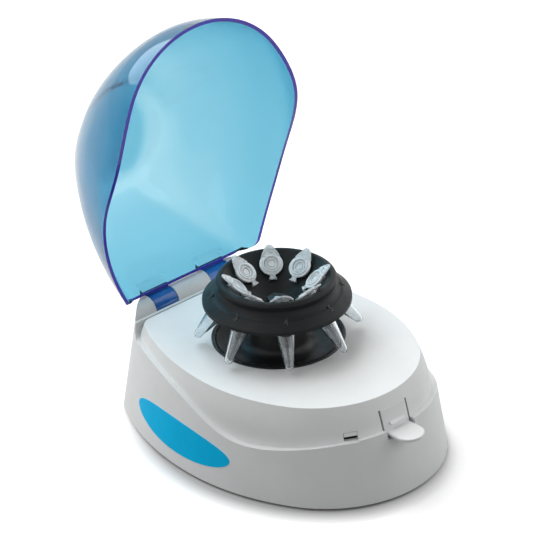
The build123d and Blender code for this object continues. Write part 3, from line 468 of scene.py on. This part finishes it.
# Half outline of its tab, outlines of the strap and the strap's foot, and their levels
TAB_REACH = 12.0
TAB_SIDE = [(4.6, 5.6), (6.5, 4.8), (8.6, 3.6), (10.4, 2.5), (11.4, 1.7), (11.9, 0.8)]
TAB_LEVELS = (COLLAR_Z + 0.5, COLLAR_Z + 1.45)
TAB_BEVEL = 0.2
STRAP = [(-9.4, -2.0), (-7.5, -1.6), (-6.0, -2.0), (-6.0, 2.0), (-7.5, 1.6), (-9.4, 2.0)]
STRAP_LEVELS = (COLLAR_Z + 0.2, COLLAR_Z + 0.9)
STRAP_BEVEL = 0.15
STRAP_FOOT = [(-9.6, -2.3), (-8.6, -2.1), (-8.6, 2.1), (-9.6, 2.3)]
STRAP_FOOT_LEVELS = (COLLAR_Z - 0.6, COLLAR_Z + 1.0)
STRAP_FOOT_BEVEL = 0.12


def place_angle(index):
    """Angle of a tube's place about the rotor's axis."""
    return radians(FIRST_TUBE + index * 360 / TUBE_COUNT)


def tube_place(index):
    """The move that takes a tube from its own axis to its place on the rotor."""
    height = DISH_Z + (PLACE_R - DISH_R) * tan(radians(TUBE_TILT))
    turn = Matrix.Rotation(place_angle(index), 4, "Z")
    lean = Matrix.Rotation(radians(-TUBE_TILT), 4, "Y")
    out = Matrix.Translation((PLACE_R * MM, 0, height * MM))
    return Matrix.Translation((0, AXIS_Y, 0)) @ turn @ out @ lean


def tube_body(bm):
    """Hollow tube with a collar, a tapered foot and a rounded tip."""
    tip = (0, TIP_Z + TIP_R)
    bore_r = TUBE_R - TUBE_WALL
    outer = [(COLLAR_R - EASED, COLLAR_Z), (COLLAR_R, COLLAR_Z - EASED)]
    outer += [(COLLAR_R, EASED), (COLLAR_R - EASED, COLLAR_BASE)]
    outer += [(TUBE_R + EASED, COLLAR_BASE), (TUBE_R, -EASED), (TUBE_R, -TUBE_STRAIGHT)]
    outer += arc(tip, TIP_R, 0, -90, 6)
    inner = arc(tip, TIP_R - TIP_WALL, -90, 0, 5)
    inner += [(bore_r, -TUBE_STRAIGHT), (bore_r, COLLAR_Z), (COLLAR_R - EASED, COLLAR_Z)]
    lathe(bm, outer + inner)


def tube_cap(bm):
    """Snap cap: a disc with raised rings round a sunk middle, and a plug below."""
    profile = [(0, CAP_MIDDLE_Z), (1.7, CAP_MIDDLE_Z), (2.0, CAP_GROOVE_Z), (2.5, CAP_GROOVE_Z)]
    profile += [(2.8, CAP_RING_Z), (3.3, CAP_RING_Z), (3.6, CAP_MOAT_Z), (4.2, CAP_MOAT_Z)]
    profile += [(4.5, CAP_Z), (5.2, CAP_Z), (5.5, CAP_Z - 0.6), (6.2, CAP_Z - 0.65)]
    profile += [(6.7, CAP_Z - 0.75), (CAP_R, CAP_Z - 1.0), (CAP_R, CAP_SEAT_Z + EASED)]
    profile += [(CAP_R - EASED, CAP_SEAT_Z), (PLUG_R, CAP_SEAT_Z), (PLUG_R, PLUG_END_Z + 0.4)]
    profile += [(PLUG_R - 0.6, PLUG_END_Z), (PLUG_R - 0.9, PLUG_END_Z + 0.2)]
    profile += [(PLUG_R - 0.9, CAP_UNDERSIDE_Z), (0, CAP_UNDERSIDE_Z)]
    lathe(bm, profile)


def tube_tab(bm):
    """Thumb tab that runs out of the cap to a soft point, and the strap with its foot."""
    outline = [(x, -y) for x, y in TAB_SIDE] + [(TAB_REACH, 0.0)] + TAB_SIDE[::-1]
    plate(bm, outline, *TAB_LEVELS, TAB_BEVEL)
    plate(bm, STRAP, *STRAP_LEVELS, STRAP_BEVEL)
    plate(bm, STRAP_FOOT, *STRAP_FOOT_LEVELS, STRAP_FOOT_BEVEL)


def make_tubes():
    """One piece for each tube's node."""
    for index in range(TUBE_COUNT):
        bm = bmesh.new()
        for number, part in enumerate((tube_body, tube_cap, tube_tab)):
            done = len(bm.faces)
            part(bm)
            bm.faces.ensure_lookup_table()
            for face in bm.faces[done:]:
                face.material_index = number
        bmesh.ops.transform(bm, matrix=tube_place(index), verts=bm.verts)
        name = f"capped_tube_{index + 1}"
        piece = finish_mesh(name, bm, ("tube", "cap", "tab"), "rotor")
        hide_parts(f"tube_{index + 1}")


make_tubes()


# Embossed place numbers on the rotor's skirt, a lighter grey than the skirt as a painted highlight
# of their relief: radius, size and relief in millimetres
NUMBER_R = 38.6
NUMBER_SIZE = 6.0
NUMBER_RELIEF = 0.22
NUMBER_CURVE_STEPS = 3
FIRST_NUMBER = 4
ABOVE_ROTOR = 0.2


def make_numbers():
    """A plain number at each place, standing a little out of the skirt, in a lighter grey that
    paints the highlight its relief catches.
    """
    skirt = surface_of("rotor")
    for index in range(TUBE_COUNT):
        text = bpy.data.curves.new("place_number", "FONT")
        text.body = str((FIRST_NUMBER - 1 + index) % TUBE_COUNT + 1)
        text.align_x = "CENTER"
        text.align_y = "CENTER"
        text.size = NUMBER_SIZE * MM
        text.extrude = NUMBER_RELIEF * MM
        text.resolution_u = NUMBER_CURVE_STEPS
        holder = bpy.data.objects.new("number_holder", text)
        mesh = bpy.data.meshes.new_from_object(holder)
        bpy.data.objects.remove(holder)
        bm = bmesh.new()
        bm.from_mesh(mesh)
        angle = place_angle(index)
        radius = NUMBER_R * MM
        over = Vector((radius * cos(angle), AXIS_Y + radius * sin(angle), ABOVE_ROTOR))
        spot, normal, _, _ = skirt.ray_cast(over, Vector((0, 0, -1)))
        across = Vector((-sin(angle), cos(angle), 0))
        whole = Matrix((across, normal.cross(across), normal)).transposed().to_4x4()
        whole.translation = spot
        bmesh.ops.transform(bm, matrix=whole, verts=bm.verts)
        finish_mesh(f"place_number_{index + 1}", bm, ("number",), "rotor")


make_numbers()


# The lid's hinge and its two knuckles
HINGE = Vector((0, 80.5 * MM + AXIS_Y, 57.4 * MM))
OPEN_ANGLE = 88.45
SHUTTING = Matrix.Rotation(radians(OPEN_ANGLE), 4, "X")
OPENING = Matrix.Rotation(radians(-OPEN_ANGLE), 4, "X")
KNUCKLE_R = 8.3 * MM
KNUCKLE_INNER_R = 3 * MM
KNUCKLE_INNER_X = 13.2 * MM
KNUCKLE_OUTER_X = 30.4 * MM

# Its lower edge, on the shut lid, which ends below a level and leaves out the latch's groove
EDGE_LIFT = 0.04 * MM
EDGE_TOP = 64 * MM
GROOVE_HALF = 7.3 * MM
GROOVE_Y = -80 * MM
GROOVE_Z = 42.2 * MM

# Slopes of the faces that belong to the edge
FACING_DOWN = -0.2
NOT_FRONT = -0.9
FACING_BACK = 0.96
NOT_SIDEWAYS = 0.02

# Pale covers behind the knuckles, a painted glow of light through the lid over their shaded depth:
# their levels on the shut lid, how far they reach past, and their glow
COVER_LEVELS = (59.4 * MM, 65.9 * MM)
COVER_SPREAD = 2.5 * MM
COVER_LIFT = 0.06 * MM
COVER_PAINTED_GLOW = (0.1, 0.8, 0.95, 1)
COVER_PAINTED_GLOW_STRENGTH = 0.1


def from_hinge(point):
    """Distance of a point of the lid from the hinge's axis."""
    return Vector((point.y - HINGE.y, point.z - HINGE.z)).length


def is_rim(centre, normal):
    """Whether a face of the shut lid is part of its lower edge."""
    in_groove = abs(centre.x) < GROOVE_HALF and centre.z > GROOVE_Z and centre.y < GROOVE_Y
    faces_down = normal.z < FACING_DOWN and normal.y > NOT_FRONT
    is_cut = abs(normal.x) < NOT_SIDEWAYS and (faces_down or normal.y > FACING_BACK)
    return is_cut and centre.z < EDGE_TOP and from_hinge(centre) > KNUCKLE_R and not in_groove


def is_knuckle(centre, _normal):
    """Whether a face of the shut lid is on the outside of one of its hinge knuckles."""
    beside = KNUCKLE_INNER_X < abs(centre.x) < KNUCKLE_OUTER_X
    return beside and KNUCKLE_INNER_R < from_hinge(centre) < KNUCKLE_R


def skin_of_lid(name, chosen, look):
    """A skin over the faces of the lid that a test on the shut lid chooses."""
    mesh = NODES["lid_dome"].data
    bm = bmesh.new()
    for polygon in mesh.polygons:
        centre = SHUTTING @ (polygon.center - HINGE) + HINGE
        if chosen(centre, SHUTTING.to_3x3() @ polygon.normal):
            lift = polygon.normal * EDGE_LIFT
            bm.faces.new([bm.verts.new(mesh.vertices[v].co + lift) for v in polygon.vertices])
    finish_mesh(name, bm, (look,), "lid")


def make_knuckle_painted_glow():
    """Pale backs of the knuckles, just inside the lid's wall: painted light that glows in place of
    light through the lid, and hides their shaded depth.
    """
    # Painted light: the covers glow a pale blue though no lamp is there
    shader = MATERIALS["lid_painted_backlight"].node_tree.nodes["Principled BSDF"]
    shader.inputs["Emission Color"].default_value = COVER_PAINTED_GLOW
    shader.inputs["Emission Strength"].default_value = COVER_PAINTED_GLOW_STRENGTH
    lid = surface_of("lid_dome")
    toward = OPENING.to_3x3() @ Vector((0, 1, 0))
    start_x, end_x = KNUCKLE_INNER_X - COVER_SPREAD, KNUCKLE_OUTER_X + COVER_SPREAD
    low, high = COVER_LEVELS
    for side, word in ((-1, "left"), (1, "right")):
        bm = bmesh.new()
        corners = []
        for x, z in ((start_x, low), (end_x, low), (end_x, high), (start_x, high)):
            start = OPENING @ (Vector((side * x, 0, z)) - HINGE) + HINGE
            spot = lid.ray_cast(start, toward)[0]
            corners.append(bm.verts.new(spot - toward * COVER_LIFT))
        bm.faces.new(corners)
        finish_mesh(f"lid_clip_painted_glow_{word}", bm, ("lid_painted_backlight",), "lid")


skin_of_lid("lid_edge_line", is_rim, "lid_edge")
skin_of_lid("lid_clip_faces", is_knuckle, "lid_clip")
make_knuckle_painted_glow()


# Share of its window that the lid switch's plunger fills
BAR_SHARE = 0.46

# Thin web at the latch tongue's head
SEAM_HALF = 9.3 * MM
SEAM_BELOW = 0.35 * MM
SEAM_ABOVE = 0.75 * MM
SEAM_LIFT = 0.05 * MM
SEAM_STEPS = 24
BEFORE_CASING = -0.3


def make_plunger_bar():
    """The plunger as a bar in the upper half of its window, with the dark housing below."""
    bm = bmesh.new()
    bm.from_mesh(NODES["switch_plunger"].data)
    height = max(bm.faces, key=lambda face: face.normal.z).normal.copy()
    front = min(bm.faces, key=lambda face: face.normal.y).normal.copy()
    outward = (front - height * front.dot(height)).normalized()
    climb = height - outward * (height.dot(front) / outward.dot(front))
    top = max(vertex.co.dot(height) for vertex in bm.verts)
    depths = [vertex.co.dot(outward) for vertex in bm.verts]
    middle = (min(depths) + max(depths)) / 2
    for vertex, depth in zip(bm.verts, depths):
        rise = (top - vertex.co.dot(height)) * (1 - BAR_SHARE)
        vertex.co += (climb if depth > middle else height) * rise
    bar = finish_mesh("plunger_bar", bm, ("casing",), "plunger")
    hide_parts("switch_plunger")


def make_tongue_seam():
    """The thin web at the latch tongue's head, which joins it to the wall above."""
    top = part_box("latch_tongue")[1].z
    bm = bmesh.new()
    rows = []
    for node, level in (("latch_tongue", top - SEAM_BELOW), ("top_casing", top + SEAM_ABOVE)):
        wall = surface_of(node)
        row = []
        for step in range(SEAM_STEPS + 1):
            x = SEAM_HALF * (2 * step / SEAM_STEPS - 1)
            before = Vector((x, BEFORE_CASING, level))
            spot, normal, _, _ = wall.ray_cast(before, Vector((0, 1, 0)))
            row.append(bm.verts.new(spot + normal * SEAM_LIFT))
        rows.append(row)
    for a, b, c, d in zip(rows[0], rows[0][1:], rows[1][1:], rows[1]):
        bm.faces.new((a, b, c, d))
    finish_mesh("tongue_seam", bm, ("casing",), "casing")


make_plunger_bar()
make_tongue_seam()


# World, floor and lights

# Floor: what it throws back, what is seen of it far from the object, its painted shadow seen under
# the object, and its painted light, a glow that lifts what is seen away from that shadow
FLOOR_HALF = 6.0
FLOOR_BOUNCE = (0.15, 0.15, 0.15, 1)
FLOOR_SEEN = (0.99, 0.99, 0.99, 1)
FLOOR_PAINTED_SHADOW = (0.55, 0.55, 0.55, 1)
FLOOR_PAINTED_LIGHT = 0.25

# Oval of painted shadow under the object, where the floor is darkest: middle, half sizes, and
# where it has faded
SHADOW_X, SHADOW_Y = -6 * MM, -24 * MM
SHADOW_HALF_X, SHADOW_HALF_Y = 74 * MM, 96 * MM
SHADOW_END = 1.16

# Wide soft lights: name, direction and strength
LIGHT_SPREAD = 60.0
LIGHTS = (
    ("above", (0, 0.5, 1.0), 0.66),
    ("behind", (0.1, 1.0, 0.9), 2.1),
    ("behind_left", (-0.8, 0.6, 0.9), 0.72),
    ("left", (-1.0, 0.1, 0.35), 0.72),
    ("right", (1.0, -0.2, 0.5), 1.15),
    ("front_right", (0.35, -1.0, 0.4), 0.95),
)


def white_world():
    """A world that is plain white where it is seen or mirrored, and gives no light itself."""
    world = bpy.data.worlds.new("studio")
    bpy.context.scene.world = world
    world.use_nodes = True
    tree = world.node_tree
    background = tree.nodes["Background"]
    background.inputs["Color"].default_value = WHITE
    path = tree.nodes.new("ShaderNodeLightPath")
    direct = calculate(tree, "LESS_THAN", path.outputs["Diffuse Depth"], 0.5)
    level = calculate(tree, "MULTIPLY", in_view(tree, path), direct)
    tree.links.new(level, background.inputs["Strength"])


def make_floor():
    """Pale floor that renders white where nothing shades it, with a painted shadow in an oval
    under the object and a painted light round it.
    """
    mesh = bpy.data.meshes.new("floor")
    half = FLOOR_HALF
    corners = [(-half, -half, 0), (half, -half, 0), (half, half, 0), (-half, half, 0)]
    mesh.from_pydata(corners, [], [(0, 1, 2, 3)])
    floor = bpy.data.objects.new("floor", mesh)
    bpy.context.scene.collection.objects.link(floor)
    maker = Maker("floor_paper_painted_shadow")
    maker.set(Roughness=0.9, Specular_IOR_Level=0.0, Emission_Color=WHITE)
    path = maker.nodes.new("ShaderNodeLightPath")
    place = maker.nodes.new("ShaderNodeMapping")
    shift = (-SHADOW_X / SHADOW_HALF_X, -SHADOW_Y / SHADOW_HALF_Y, 0)
    place.inputs["Location"].default_value = shift
    place.inputs["Scale"].default_value = (1 / SHADOW_HALF_X, 1 / SHADOW_HALF_Y, 1)
    maker.link(maker.coords.outputs["Object"], place.inputs["Vector"])
    reach = maker.nodes.new("ShaderNodeVectorMath")
    reach.operation = "LENGTH"
    maker.link(place.outputs["Vector"], reach.inputs[0])
    shade = maker.ramp(reach.outputs["Value"], 0.0, 1.0, start=1.0, end=SHADOW_END)
    # Painted shadow: what is seen of the floor darkens in the oval under the object
    paper_with_painted_shadow = maker.mix(shade, FLOOR_PAINTED_SHADOW, FLOOR_SEEN)
    maker.colour(maker.mix(in_view(maker.tree, path), FLOOR_BOUNCE, paper_with_painted_shadow))
    # Painted light: a glow, seen by the camera only, that brightens the floor away from the oval
    painted_light = maker.times(maker.times(shade, FLOOR_PAINTED_LIGHT), path.outputs["Is Camera Ray"])
    maker.link(painted_light, maker.shader.inputs["Emission Strength"])
    mesh.materials.append(maker.material)


def soft_light(name, direction, strength):
    """A wide, even light from a direction, like a large soft box far away."""
    data = bpy.data.lights.new(name, "SUN")
    data.angle = radians(LIGHT_SPREAD)
    data.energy = strength
    light = bpy.data.objects.new(name, data)
    light.rotation_euler = (-Vector(direction)).to_track_quat("-Z", "Y").to_euler()
    bpy.context.scene.collection.objects.link(light)


white_world()
make_floor()
for light in LIGHTS:
    soft_light(*light)

bpy.context.scene.view_settings.view_transform = "Standard"
